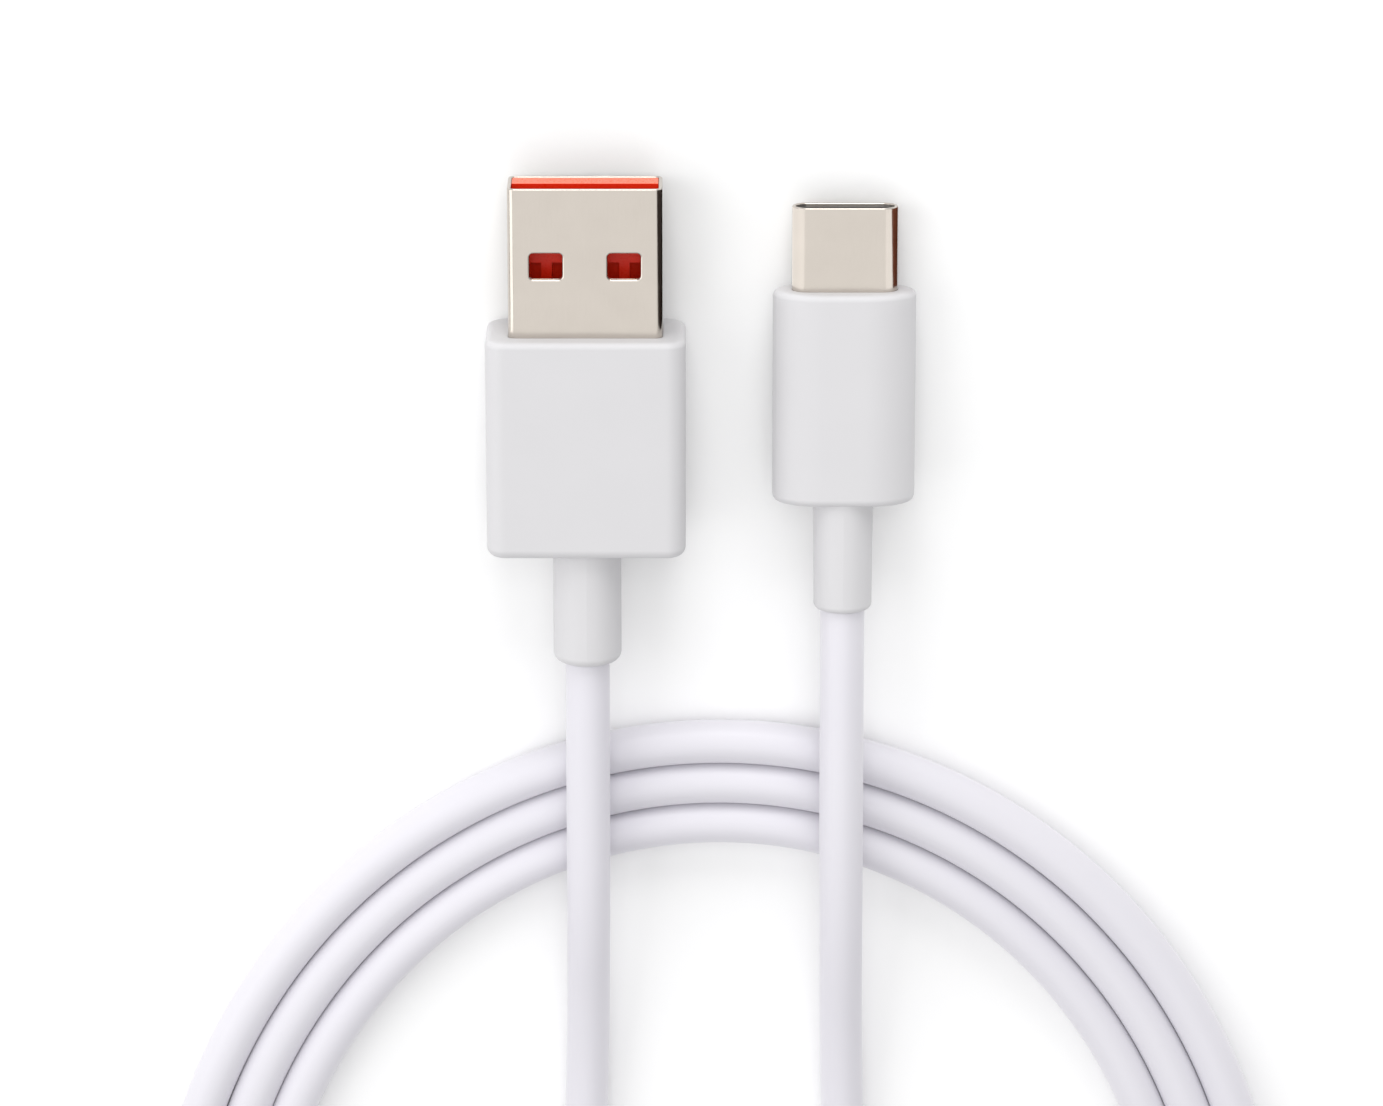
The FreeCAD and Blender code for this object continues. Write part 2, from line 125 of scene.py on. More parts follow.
from_usb_a = [
    (-9.0, -19.4, 5.61),
    (-9.0, -26.7, 6.06),
    (-9.05, -41.0, 6.05),
    (-9.2, -53.6, 2.5),
    (-9.6, -66.5, 1.75),
    (-9.9, -81.0, 1.75),
    (-9.6, -95.0, 1.75),
    (-4.1, -106.6, 1.75),
    (6.4, -113.8, 1.75),
    (19.0, -114.6, 1.75),
    (30.1, -108.3, 1.75),
]
to_usb_c = [
    (-44.2, -71.5, 1.75),
    (-43.6, -86.5, 3.3),
    (-39.3, -100.4, 5.2),
    (-31.4, -111.6, 5.95),
    (-20.6, -118.6, 5.95),
    (-8.6, -120.2, 5.95),
    (2.6, -115.6, 5.95),
    (9.8, -106.2, 5.8),
    (12.6, -94.0, 4.0),
    (12.5, -81.0, 2.1),
    (12.0, -68.0, 1.75),
    (11.5, -56.0, 2.4),
    (11.3, -40.6, 6.35),
    (11.2, -25.7, 6.55),
    (11.2, -15.1, 5.43),
]


# %% The coil's turns, worked out by a loop
def ease(t):
    """0 before 0, 1 after 1 and a smooth step between."""
    t = min(1.0, max(0.0, t))
    return t * t * (3 - 2 * t)


STEP_OUT = (200, 90)        # degrees: where each turn starts to move out by one place, and over how far
COIL_FROM = -41.8           # the angle where the USB-A stretch has become the inner turn
COIL_TO = 720 + 171.3       # and where the outer turn becomes the USB-C stretch
COIL_STEPS = 62
step = (COIL_TO - COIL_FROM) / COIL_STEPS
outside_line = 1 / (0.75 + 0.25 * math.cos(math.radians(step)))   # a spline runs just inside its guide points


def coil_point(angle):
    """The guide point of the coil at a total angle in degrees, counted through all turns."""
    whole = math.floor(angle / 360)
    place = whole + ease((angle - 360 * whole - STEP_OUT[0]) / STEP_OUT[1])
    inwards = TURNS - 1 - place
    half_x = COIL_HALF[0] - CORD_DIAMETER / 2 - inwards * (CORD_DIAMETER + TURN_GAP)
    half_y = COIL_HALF[1] - CORD_DIAMETER / 2 - inwards * (CORD_DIAMETER + TURN_GAP)
    turn = math.radians(angle)
    x = COIL_CENTRE[0] + half_x * outside_line * math.cos(turn)
    y = COIL_CENTRE[1] + half_y * outside_line * math.sin(turn)
    return (x, y, CORD_DIAMETER / 2)


turns = [coil_point(COIL_FROM + step * i) for i in range(1, COIL_STEPS)]
route = from_usb_a + turns + to_usb_c
print("guide points:", len(route), "of which in the coil:", len(turns))


# %% The cord's line: one smooth spline
def spline_through(name, points):
    """A NURBS curve of one open spline with these guide points, in millimetres."""
    data = bpy.data.curves.new(name, "CURVE")
    data.dimensions = "3D"
    data.resolution_u = 12
    spline = data.splines.new("NURBS")
    spline.points.add(len(points) - 1)
    for guide, point in zip(spline.points, points):
        guide.co = (*mm(*point), 1)
    spline.order_u = 3
    spline.use_endpoint_u = True
    thing = bpy.data.objects.new(name, data)
    bpy.context.collection.objects.link(thing)
    return thing


def points_along(curve):
    """The points of a curve's own line, in order."""
    bpy.context.view_layer.update()
    line = bpy.data.meshes.new_from_object(curve)
    points = [v.co.copy() for v in line.vertices]
    bpy.data.meshes.remove(line)
    return points


cord_curve = spline_through("cord_line", route)
cord_line = points_along(cord_curve)
bpy.data.objects.remove(cord_curve)
lengths = [0.0]
for before, after in zip(cord_line, cord_line[1:]):
    lengths.append(lengths[-1] + (after - before).length)
cord_length = lengths[-1]
print("cord length %.0f mm in %d points" % (cord_length / MM, len(cord_line)))

# %% [markdown]
# The cord's skin is a tube of rings threaded along that line. Each ring is carried from the last one
# without twisting, so that marks along the jacket run straight. The last 18 mm behind each plug are pieces
# of their own, because those stretches bend when a plug is lifted, while the rest stays on the table.

# %% A tube along a line
def link_mesh(name, points, faces, smooth=True):
    """A new object from points in metres and faces by index."""
    data = bpy.data.meshes.new(name)
    data.from_pydata([tuple(p) for p in points], [], faces)
    data.polygons.foreach_set("use_smooth", [smooth] * len(data.polygons))
    data.update()
    thing = bpy.data.objects.new(name, data)
    bpy.context.collection.objects.link(thing)
    return thing


def carried_rings(line, radius, sides):
    """Rings square to a line, each turned as little as possible from the one before."""
    rings = []
    across = Vector((1, 0, 0))
    for index, centre in enumerate(line):
        ahead = (line[min(index + 1, len(line) - 1)] - line[max(index - 1, 0)]).normalized()
        across = (across - ahead * across.dot(ahead)).normalized()
        other = ahead.cross(across)
        ring = []
        for side in range(sides):
            angle = 2 * math.pi * side / sides
            ring.append(centre + (across * math.cos(angle) + other * math.sin(angle)) * radius)
        rings.append(ring)
    return rings


CORD_SIDES = 32


def tube(name, line, radius, first, last, rings=None):
    """The skin of a cord between two points of its line, with the distance along it stored as a map."""
    rings = rings or carried_rings(line, radius, CORD_SIDES)
    used = rings[first:last + 1]
    points = [p for ring in used for p in ring]
    faces = []
    for r in range(len(used) - 1):
        for s in range(CORD_SIDES):
            after = (s + 1) % CORD_SIDES
            low = r * CORD_SIDES
            faces.append((low + s, low + after, low + CORD_SIDES + after, low + CORD_SIDES + s))
    thing = link_mesh(name, points, faces)
    layer = thing.data.uv_layers.new(name="along")
    for face in thing.data.polygons:
        corners = [thing.data.loops[i].vertex_index for i in face.loop_indices]
        wraps = face.index % CORD_SIDES == CORD_SIDES - 1
        for loop_index, vertex in zip(face.loop_indices, corners):
            around = vertex % CORD_SIDES
            if wraps and around == 0:
                around = CORD_SIDES
            layer.data[loop_index].uv = (around / CORD_SIDES, lengths[first + vertex // CORD_SIDES])
    return thing


# %% The cord in three pieces
FLEX_LENGTH = 18 * MM
SEAM = FLEX_LENGTH + 0.6 * MM
cord_radius = CORD_DIAMETER / 2 * MM
all_rings = carried_rings(cord_line, cord_radius, CORD_SIDES)
end_a = next(i for i, s in enumerate(lengths) if s > SEAM)
end_c = next(i for i, s in enumerate(lengths) if s > cord_length - SEAM)
last_point = len(cord_line) - 1
cord = tube("cord_jacket", cord_line, cord_radius, end_a, end_c, all_rings)
flex_a = tube("cord_flex_usb_a", cord_line, cord_radius, 0, end_a, all_rings)
flex_c = tube("cord_flex_usb_c", cord_line, cord_radius, end_c, last_point, all_rings)
print("cord rings:", len(all_rings), "flex stretches:", end_a, "and", last_point - end_c)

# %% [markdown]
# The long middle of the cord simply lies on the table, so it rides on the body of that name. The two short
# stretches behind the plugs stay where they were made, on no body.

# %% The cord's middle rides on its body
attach(cord, "cord")
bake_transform(flex_a)
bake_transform(flex_c)
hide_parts("cord_coil", "cord_run_to_usb_a", "cord_run_to_usb_c")
print("free lengths behind the plugs: %.0f mm each" % (FLEX_LENGTH / MM))

# %% [markdown]
# The table is a sheet of white paper, wide enough for any view. The light is a bright room with one big
# soft lamp high on the left, so that each cord is white on its left flank and falls away to grey on its
# right.

# %% Table and light
PAPER_HALF = 1.6            # metres
PAPER_CELLS = 8

paper_mesh = bpy.data.meshes.new("white_paper")
sheet = bmesh.new()
bmesh.ops.create_grid(sheet, x_segments=PAPER_CELLS, y_segments=PAPER_CELLS, size=PAPER_HALF)
sheet.to_mesh(paper_mesh)
sheet.free()
paper = bpy.data.objects.new("white_paper", paper_mesh)
bpy.context.collection.objects.link(paper)


def soft_lamp(name, place, aim, size, watts):
    """A square lamp of that size in metres, turned to face a point."""
    data = bpy.data.lights.new(name, "AREA")
    data.size = size
    data.energy = watts
    lamp = bpy.data.objects.new(name, data)
    lamp.location = place
    lamp.rotation_euler = (Vector(aim) - Vector(place)).to_track_quat("-Z", "Y").to_euler()
    bpy.context.collection.objects.link(lamp)
    return lamp


soft_lamp("key_left", (-0.78, 0.1, 0.6), (0, -0.02, 0), 0.9, 3.6)
soft_lamp("top_panel", (0, -0.24, 0.98), (0, 0, 0), 0.9, 1.3)
soft_lamp("front_fill", (0.0, 0.45, 1.05), (0, 0, 0), 0.5, 1.5)
soft_lamp("tip_side", (0.05, 0.95, 0.42), (0, 0, 0), 0.6, 4.6)

room = bpy.data.worlds.new("bright_room")
room.use_nodes = True
room.node_tree.nodes["Background"].inputs["Color"].default_value = (1.0, 1.0, 1.0, 1)
room.node_tree.nodes["Background"].inputs["Strength"].default_value = 0.62
bpy.context.scene.world = room
bpy.context.scene.view_settings.view_transform = "Standard"

# %% [markdown]
# Polished metal is a mirror, so what it looks like is what stands beside it. A photographer puts a small
# dark card, called a flag, close to its right side, which draws a crisp dark line down that edge, and a
# white card where an edge should shine. The cards here are seen by mirror-like reflections only and from
# one side only, so they cast no shadow and hide nothing.

# %% Cards beside the metal
def side_card(name, x, facing, y0, y1, z0, z1):
    """An upright card in the plane of one x, in millimetres; facing is -1 to the left and 1 to the right."""
    corners = [mm(x, y0, z0), mm(x, y0, z1), mm(x, y1, z1), mm(x, y1, z0)]
    card = link_mesh(name, corners[::-facing], [(0, 1, 2, 3)], smooth=False)
    for ray in ("camera", "diffuse", "transmission", "volume_scatter", "shadow"):
        setattr(card, "visible_" + ray, False)
    return card


shell_box_a = [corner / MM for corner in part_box("usb_a_shell")]
shell_box_c = [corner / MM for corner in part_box("usb_c_shell")]
grip_front_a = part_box("usb_a_overmould")[1].y / MM
grip_front_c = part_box("usb_c_overmould")[1].y / MM
BESIDE = 1.2                # how far the cards stand from the metal
a_side = shell_box_a[1].x + BESIDE
c_side = shell_box_c[1].x + BESIDE
a_length = (grip_front_a + 0.2, shell_box_a[1].y)
c_length = (grip_front_c - 0.8, shell_box_c[1].y)
c_edge = shell_box_c[1].z - 0.6
flags = [side_card("flag_usb_a", a_side, -1, *a_length, 0.3, shell_box_a[1].z + 1.9),
         side_card("flag_usb_c", c_side, -1, *c_length, 0.2, c_edge)]
white_cards = [side_card("white_card_usb_c_right", c_side, -1, *c_length, c_edge, c_edge + 5),
               side_card("white_card_usb_c_left", shell_box_c[0].x - BESIDE, 1, *c_length, 0.2, c_edge + 5)]
print("cards:", len(flags), "dark and", len(white_cards), "white")

# %% [markdown]
# Each plug is built lying straight in a frame of its own: y runs from where the cord comes out to the tip,
# x to the right and z up. One matrix per plug then leans it nose-down into its place. That way the numbers
# below are the ones a drawing of the plug would show.

# %% The plugs' own frames
A_TIP = 38.87
C_TIP = 32.45


def plug_frame(mount, tip):
    """The matrix from a plug's own frame, in metres, to its place on the table."""
    found = next(m for m in frame["record"]["mounts"] if m["name"] == mount)
    ahead = Vector(found["axis"])
    right = Vector((1, 0, 0))
    up = right.cross(ahead)
    turn = Matrix((right, ahead, up)).transposed().to_4x4()
    return Matrix.Translation(Vector(found["pos_m"]) - ahead * tip * MM) @ turn


plug_a = plug_frame("usb_a_plug", A_TIP)
plug_c = plug_frame("usb_c_plug", C_TIP)
print("cord meets plug within %.2f mm and %.2f mm" % (
    (plug_a.translation - cord_line[0]).length / MM, (plug_c.translation - cord_line[-1]).length / MM))

# %% [markdown]
# Almost every piece of a plug is a rounded rectangle carried along one direction: the metal shell, the
# moulded grip, the plastic inside. So one function gives the outline and another puts a skin over a row
# of outlines. A fillet is then only a few outlines that shrink a little, one after the other. Joining the
# last outline to the first makes a hollow piece in one go.

# %% Outlines and skins
CORNER_STEPS = 8


def outline(width, height, corner, stretch=1.0):
    """A rounded rectangle about the origin, always with the same number of points in the same order.
    stretch makes the corners that much wider than high."""
    wide = corner * stretch
    points = []
    for quarter, (side, up) in enumerate(((1, 1), (-1, 1), (-1, -1), (1, -1))):
        for i in range(CORNER_STEPS + 1):
            angle = math.pi / 2 * (quarter + i / CORNER_STEPS)
            points.append((side * (width / 2 - wide) + wide * math.cos(angle),
                           up * (height / 2 - corner) + corner * math.sin(angle)))
    return points


def across_plug(y, width, height, corner, x=0.0, z=0.0, stretch=1.0):
    """An outline standing square to the plug's length."""
    return [(x + a, y, z + b) for a, b in outline(width, height, corner, stretch)]


def flat_on_plug(z, width, length, corner, x, y):
    """An outline lying flat, for a cut straight down."""
    return [(x + a, y + b, z) for a, b in outline(width, length, corner)]


def skin(name, rings, place, loop=False):
    """A closed piece over rings of points: with end faces, or with the last ring joined to the first."""
    count = len(rings[0])
    faces = []
    for r in range(len(rings) if loop else len(rings) - 1):
        here = r * count
        there = (r + 1) % len(rings) * count
        for i in range(count):
            after = (i + 1) % count
            faces.append((here + i, here + after, there + after, there + i))
    if not loop:
        faces.append(tuple(range(count)))
        faces.append(tuple((len(rings) - 1) * count + i for i in range(count)))
    thing = link_mesh(name, [place @ mm(*p) for ring in rings for p in ring], faces)
    solid = bmesh.new()
    solid.from_mesh(thing.data)
    bmesh.ops.recalc_face_normals(solid, faces=solid.faces)
    solid.to_mesh(thing.data)
    solid.free()
    return thing


def rounded_end(y, width, height, corner, radius, steps, outwards, stretch=1.0):
    """Rings around a rounded edge at the end of a piece; outwards is 1 at its front and -1 at its back."""
    rings = []
    for i in range(steps + 1):
        angle = math.pi / 2 * i / steps
        inset = radius * (1 - math.cos(angle))
        back = radius * (1 - math.sin(angle))
        rings.append(across_plug(y - outwards * back, width - 2 * inset, height - 2 * inset,
                                 max(corner - inset, 0.05), stretch=stretch))
    return rings


print("points in each outline:", len(outline(2, 2, 0.5)))

# %% [markdown]
# Two helpers finish a piece. One cuts shapes out of it, as a punch or a mould core would. The other
# softens every edge that is still sharp, because no real edge is: it is the thin highlight on that edge
# that makes metal look formed and plastic look moulded. Weighted normals keep the flat faces flat right
# up to the round.

# %% Cutting and edge finishing
def keep_result(thing):
    """Turns a piece's modifiers into its mesh."""
    bpy.context.view_layer.update()
    made = bpy.data.meshes.new_from_object(thing.evaluated_get(bpy.context.evaluated_depsgraph_get()))
    thing.modifiers.clear()
    thing.data = made
    return thing


def cut(thing, *cutters):
    """Takes each cutter out of the piece."""
    for cutter in cutters:
        knife = thing.modifiers.new("cut", "BOOLEAN")
        knife.operation = "DIFFERENCE"
        knife.solver = "EXACT"
        knife.object = cutter
        keep_result(thing)
        bpy.data.objects.remove(cutter)
    return thing


def soften(thing, width, segments=2, angle=40):
    """Rounds edges sharper than the angle, by a width in millimetres, and shades the flats as flats."""
    if width:
        edge = thing.modifiers.new("edge", "BEVEL")
        edge.width = width * MM
        edge.segments = segments
        edge.limit_method = "ANGLE"
        edge.angle_limit = math.radians(angle)
    flats = thing.modifiers.new("flats", "WEIGHTED_NORMAL")
    flats.keep_sharp = True
    thing.data.polygons.foreach_set("use_smooth", [True] * len(thing.data.polygons))
    return keep_result(thing)


def bar_of(name, place, y0, y1, width, height, corner, x=0.0, z=0.0):
    """A solid bar along the plug."""
    return skin(name, [across_plug(y, width, height, corner, x, z) for y in (y0, y1)], place)


def finish(thing, body, slot, *nodes):
    """The last step of a piece on a body: what it stands for and which finish it takes."""
    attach(thing, body)
    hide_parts(*nodes)
    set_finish(thing, slot)
    return thing


print("ready to build the plugs")

# %% [markdown]
# The grip is white thermoplastic rubber moulded over the works of the plug. It is a box with well-rounded
# corners along its length, a small round at the front, where fingers pull, and a softer one at the back.
# The rubber meets the metal without a gap, because the mould closes on the shell itself.

# %% Grips
FIT = 0.02
CORD_BORE = 2 * (CORD_DIAMETER / 2 + FIT)
FERRULE_BORE = 2 * (CORD_DIAMETER / 2 + 0.31)
GRIP_FRONT_ROUND = 0.5
GRIP_REAR_WALL = 0.4


def grip(name, place, width, height, corner, stretch, rear_round, back, front, shell, pocket):
    """stretch makes the corners wider than high. shell and pocket are the hollows for the metal shell and
    for the inner block: width, height, corner and where each starts."""
    shell_w, shell_h, shell_corner, shell_start = shell
    pocket_w, pocket_h, pocket_corner, pocket_start = pocket
    bore = (CORD_BORE, CORD_BORE, CORD_BORE / 2)
    ferrule = (FERRULE_BORE, FERRULE_BORE, FERRULE_BORE / 2)
    rear = rounded_end(back, width, height, corner, rear_round, 6, -1, stretch)
    rings = [across_plug(back, *bore)]
    rings += rear[::-1]
    rings += rounded_end(front, width, height, corner, GRIP_FRONT_ROUND, 5, 1, stretch)
    rings.append(across_plug(front, shell_w, shell_h, shell_corner))
    rings.append(across_plug(shell_start, shell_w, shell_h, shell_corner))
    rings.append(across_plug(shell_start, pocket_w, pocket_h, pocket_corner))
    rings.append(across_plug(pocket_start, pocket_w, pocket_h, pocket_corner))
    rings.append(across_plug(pocket_start, *ferrule))
    rings.append(across_plug(back + GRIP_REAR_WALL, *ferrule))
    rings.append(across_plug(back + GRIP_REAR_WALL, *bore))
    return skin(name, rings, place, loop=True)


grip_a = grip("usb_a_grip", plug_a, width=15.6, height=8.0, corner=1.5, stretch=1.0, rear_round=0.8,
              back=9.42, front=27.0, shell=(12.04, 4.54, 0.57, 20.48), pocket=(13.24, 5.84, 0.8, 12.58))
grip_c = grip("usb_c_grip", plug_c, width=11.2, height=5.6, corner=2.7, stretch=1.5, rear_round=0.6,
              back=8.82, front=25.8, shell=(8.29, 2.44, 1.21, 21.78), pocket=(9.84, 4.24, 2.1, 11.98))
for thing in (grip_a, grip_c):
    soften(thing, 0.05)
finish(grip_a, "usb_a_plug", "white_tpe", "usb_a_overmould")
finish(grip_c, "usb_c_plug", "white_tpe", "usb_c_overmould")
print("grips:", len(grip_a.data.vertices), "and", len(grip_c.data.vertices), "points")

# %% [markdown]
# Behind each grip the cord passes through a strain relief, a sleeve of the same rubber that keeps it from
# kinking at the edge. The larger one is a plain cylinder with a rounded end. The smaller one tapers
# slightly and swells a little where it grows out of its grip. Both are turned shapes, so each ring is a
# circle.

# %% Strain reliefs
HARDLY_ROUND = 1e-4         # a circle is a square whose corners leave this much flat between them


def round_across(y, diameter):
    """A circle standing square to the plug's length."""
    return across_plug(y, diameter, diameter, diameter / 2 - HARDLY_ROUND)


def strain_relief(name, place, profile):
    """A sleeve around the cord: profile is the outer diameter at each distance from the cord's exit."""
    rings = [round_across(y, diameter) for y, diameter in profile]
    end = profile[-1][0]
    bell = ((end, CORD_BORE), (0.5, CORD_BORE), (0.12, CORD_BORE), (0.0, CORD_BORE + 0.2))
    rings += [round_across(y, diameter) for y, diameter in bell]
    return skin(name, rings, place, loop=True)


def rounded_start(diameter, radius, steps):
    """The profile of a rounded end at the cord's exit."""
    turns_of = [math.pi / 2 * i / steps for i in range(steps + 1)]
    return [(radius * (1 - math.cos(t)), diameter - 2 * radius * (1 - math.sin(t))) for t in turns_of]


plain_sleeve = [(3.0, 5.4), (6.0, 5.4), (8.9, 5.4), (9.2, 5.45), (9.4, 5.6), (9.7, 5.7)]
tapered_sleeve = [(3.0, 4.63), (6.0, 4.68), (7.8, 4.72), (8.3, 4.75), (8.6, 4.82), (8.8, 4.96), (9.1, 5.1)]
relief_a = strain_relief("usb_a_strain_sleeve", plug_a, rounded_start(5.4, 0.72, 8) + plain_sleeve)
relief_c = strain_relief("usb_c_strain_sleeve", plug_c, rounded_start(4.6, 0.5, 8) + tapered_sleeve)
for thing in (relief_a, relief_c):
    soften(thing, 0)
finish(relief_a, "usb_a_plug", "white_tpe", "usb_a_strain_relief")
finish(relief_c, "usb_c_plug", "white_tpe", "usb_c_strain_relief")
print("strain reliefs: %.1f and %.1f mm long, each a little way into its grip" % (
    plain_sleeve[-1][0], tapered_sleeve[-1][0]))

# %% [markdown]
# The USB-A shell is sheet steel, 0.3 mm thick, folded into a rectangular tube and nickel plated. A press
# punches two windows through each broad face, for the springs of the socket. Its folded seam runs along
# the middle of the underside. The rim is broken on both edges so that it slides in without scraping.

# %% USB-A shell
A_SHELL = (12.0, 4.5, 0.55)
A_WALL = 0.3
A_SHELL_BACK = 20.5
EDGE_BREAK = 0.02           # barely more than a highlight
RIM = 0.1


def metal_tube(name, place, width, height, corner, wall, back, tip):
    """An open tube of sheet metal with a rounded rim."""
    rings = [across_plug(back, width, height, corner)]
    rings += rounded_end(tip, width, height, corner, RIM, 3, 1)
    inner = (width - 2 * wall, height - 2 * wall, corner - wall)
    for i in range(4):
        angle = math.pi / 2 * i / 3
        grow = RIM * (1 - math.sin(angle))
        rings.append(across_plug(tip - RIM * (1 - math.cos(angle)), inner[0] + 2 * grow, inner[1] + 2 * grow,
                                 inner[2] + grow))
    rings.append(across_plug(back, *inner))
    return skin(name, rings, place, loop=True)


shell_a = metal_tube("usb_a_metal_shell", plug_a, *A_SHELL, A_WALL, A_SHELL_BACK, A_TIP)
WINDOW_X = 3.03
WINDOW_Y = A_TIP - 6.15
WINDOW = (2.55, 2.05, 0.3)
# a window's rim is drawn in by the punch: how deep below the face, and how much wider it is there
WINDOW_ROUND = ((-1, 0.16), (0, 0.16), (0.03, 0.07), (0.08, 0.02), (0.15, 0))
flares = [(-A_SHELL[1] / 2 + depth, wider) for depth, wider in WINDOW_ROUND]
flares += [(-z, wider) for z, wider in flares[::-1]]
punches = []
for side in (-1, 1):
    rings = [flat_on_plug(z, WINDOW[0] + 2 * wider, WINDOW[1] + 2 * wider, WINDOW[2] + wider,
                          side * WINDOW_X, WINDOW_Y) for z, wider in flares]
    punches.append(skin("punch", rings, plug_a))
seam = bar_of("seam", plug_a, A_SHELL_BACK - 1, A_TIP + 1, 0.05, 0.2, 0.02, z=-A_SHELL[1] / 2)
cut(shell_a, *punches, seam)
soften(shell_a, EDGE_BREAK)
finish(shell_a, "usb_a_plug", "nickel_plated_steel", "usb_a_shell")
print("USB-A shell:", len(shell_a.data.polygons), "faces")

# %% [markdown]
# The orange piece inside is one moulding of PBT, a hard, slightly glossy engineering plastic. It fills
# the back of the shell and reaches forward along one side as a tongue, with channels for the contacts.
# Under each window the mould has left a rib between two pockets. The edges are broken so that the
# socket's own tongue finds its way in.

# %% USB-A tongue
TONGUE_TOP = 0.02
MOUTH_BACK = A_TIP - 8.6
TONGUE_BACK = A_SHELL_BACK + FIT
TONGUE_FRONT = A_TIP - 0.08
TONGUE_BODY = (11.36, 3.86, 0.25)
# behind this distance the tongue takes a redder copy of its orange: painted shade for the inside of the shell
OPEN_LIGHT = 1.0                # how far behind the tip the room's light still reaches the plastic
CONTACTS_A = {"power": (-3.5, 1.3), "data_minus": (-1.0, 2.3), "data_plus": (1.0, 2.3), "ground": (3.5, 1.3)}
CONTACT_BACK = 15.8
CONTACT_RISE = A_TIP - 4.9      # where a contact comes up out of the plastic
RIB_W = 0.85                    # under each window, a rib between two pockets
POCKET_W = 0.9
POCKET_DEPTH = 1.3
POCKET_BACK = MOUTH_BACK + 0.15
POCKET_FRONT = WINDOW_Y - 0.25

tongue = bar_of("usb_a_orange_tongue", plug_a, TONGUE_BACK, TONGUE_FRONT, *TONGUE_BODY)
mouth = bar_of("mouth", plug_a, MOUTH_BACK, A_TIP + 1, 14, 4, 0.01, 0, TONGUE_TOP + 2)
hollows = []
for x, back in CONTACTS_A.values():
    hollows.append(bar_of("channel", plug_a, CONTACT_RISE, A_TIP - back + 0.03, 1.06, 0.36, 0.02,
                          x, TONGUE_TOP - 0.15))
for side in (-1, 1):
    for beside in (-1, 1):
        hollows.append(bar_of("pocket", plug_a, POCKET_BACK, POCKET_FRONT, POCKET_W, 2 * POCKET_DEPTH, 0.05,
                              side * WINDOW_X + beside * (RIB_W + POCKET_W) / 2, TONGUE_TOP))
cut(tongue, mouth, *hollows)
soften(tongue, 0.12)
finish(tongue, "usb_a_plug", "orange_pbt", "usb_a_tongue")
tongue.visible_diffuse = False      # keeps its glow off the white table in front of it
# painted shade: faces further inside than OPEN_LIGHT take the second slot, the redder copy of the orange
painted_shade_faces = 0
to_plug_a = plug_a.inverted()
for face in tongue.data.polygons:
    if (to_plug_a @ face.center).y < (A_TIP - OPEN_LIGHT) * MM:
        face.material_index = 1
        painted_shade_faces += 1
print("tongue faces inside the shell:", painted_shade_faces)
print("USB-A tongue:", len(tongue.data.polygons), "faces")

# %% [markdown]
# The four contacts are strips stamped from copper alloy and plated with gold. Each dives under the
# windows inside the plastic, comes up into its channel, and has its nose turned down so that nothing can
# catch under it. The two outer ones, which carry power, start nearer the tip and so touch first.

# %% USB-A contacts
def contact_strip(name, x, back):
    """One strip, with its dive under the windows and its nose bent down."""
    front = A_TIP - back
    dive = POCKET_DEPTH + 0.28
    path = ((CONTACT_BACK, 0), (MOUTH_BACK - 2.2, 0), (MOUTH_BACK - 0.8, dive), (CONTACT_RISE - 1.0, dive),
            (CONTACT_RISE + 0.1, 0), (front - 0.5, 0))
    rings = [across_plug(y, 1.0, 0.28, 0.06, x, TONGUE_TOP - 0.14 - down) for y, down in path]
    for along, down in ((0.3, 0.01), (0.12, 0.035), (0.02, 0.065)):
        rings.append(across_plug(front - along, 0.94 - down, 0.24 - down, 0.05, x, TONGUE_TOP - 0.16 - down))
    return skin(name, rings, plug_a)


for name, (x, back) in CONTACTS_A.items():
    strip = contact_strip("usb_a_gold_" + name, x, back)
    soften(strip, 0)
    finish(strip, "usb_a_plug", "gold_plated_copper_alloy", "usb_a_contact_" + name)
print("contacts:", ", ".join(CONTACTS_A))

# %% [markdown]
# The USB-C shell is drawn from one piece of steel, like a tiny oval cup without a bottom, so it has no
# seam. The black nylon housing sits just behind its rim with the contacts, latches and springs; those
# come in ready-made and only need their finishes.

# %% USB-C shell
shell_c = metal_tube("usb_c_metal_shell", plug_c, 8.25, 2.4, 1.195, 0.28, 21.8, C_TIP)
soften(shell_c, 0)
finish(shell_c, "usb_c_plug", "nickel_plated_steel", "usb_c_shell")
print("USB-C shell:", len(shell_c.data.polygons), "faces")

# %% [markdown]
# Finishes are node materials. Colours are written as the hex codes of a paint tool, which are not linear,
# and one function turns them into the linear values that light is worked out with. One more function adds
# a node with its settings and links, so that each finish reads like a recipe.

# %% Colours and nodes
def linear(code):
    """An sRGB hex code as a linear colour."""
    values = [int(code[i:i + 2], 16) / 255 for i in (0, 2, 4)]
    return [v / 12.92 if v <= 0.04045 else ((v + 0.055) / 1.055) ** 2.4 for v in values] + [1.0]


def new_finish(name):
    """An empty node material and its shader."""
    material = bpy.data.materials.new(name)
    material.use_nodes = True
    return material, material.node_tree.nodes["Principled BSDF"]


def add(material, kind, inputs, **settings):
    """Adds a node: its settings by name, and for each input either a value or the socket that feeds it."""
    node = material.node_tree.nodes.new("ShaderNode" + kind)
    for setting, choice in settings.items():
        setattr(node, setting, choice)
    for socket, value in inputs.items():
        if isinstance(value, bpy.types.NodeSocket):
            material.node_tree.links.new(value, node.inputs[socket])
        else:
            node.inputs[socket].default_value = value
    return node


def feed(material, shader, inputs):
    """Links sockets, or sets values, on the shader."""
    for socket, value in inputs.items():
        if isinstance(value, bpy.types.NodeSocket):
            material.node_tree.links.new(value, shader.inputs[socket])
        else:
            shader.inputs[socket].default_value = value


print("white paper in linear light: %.3f" % linear("F4F4F4")[0])

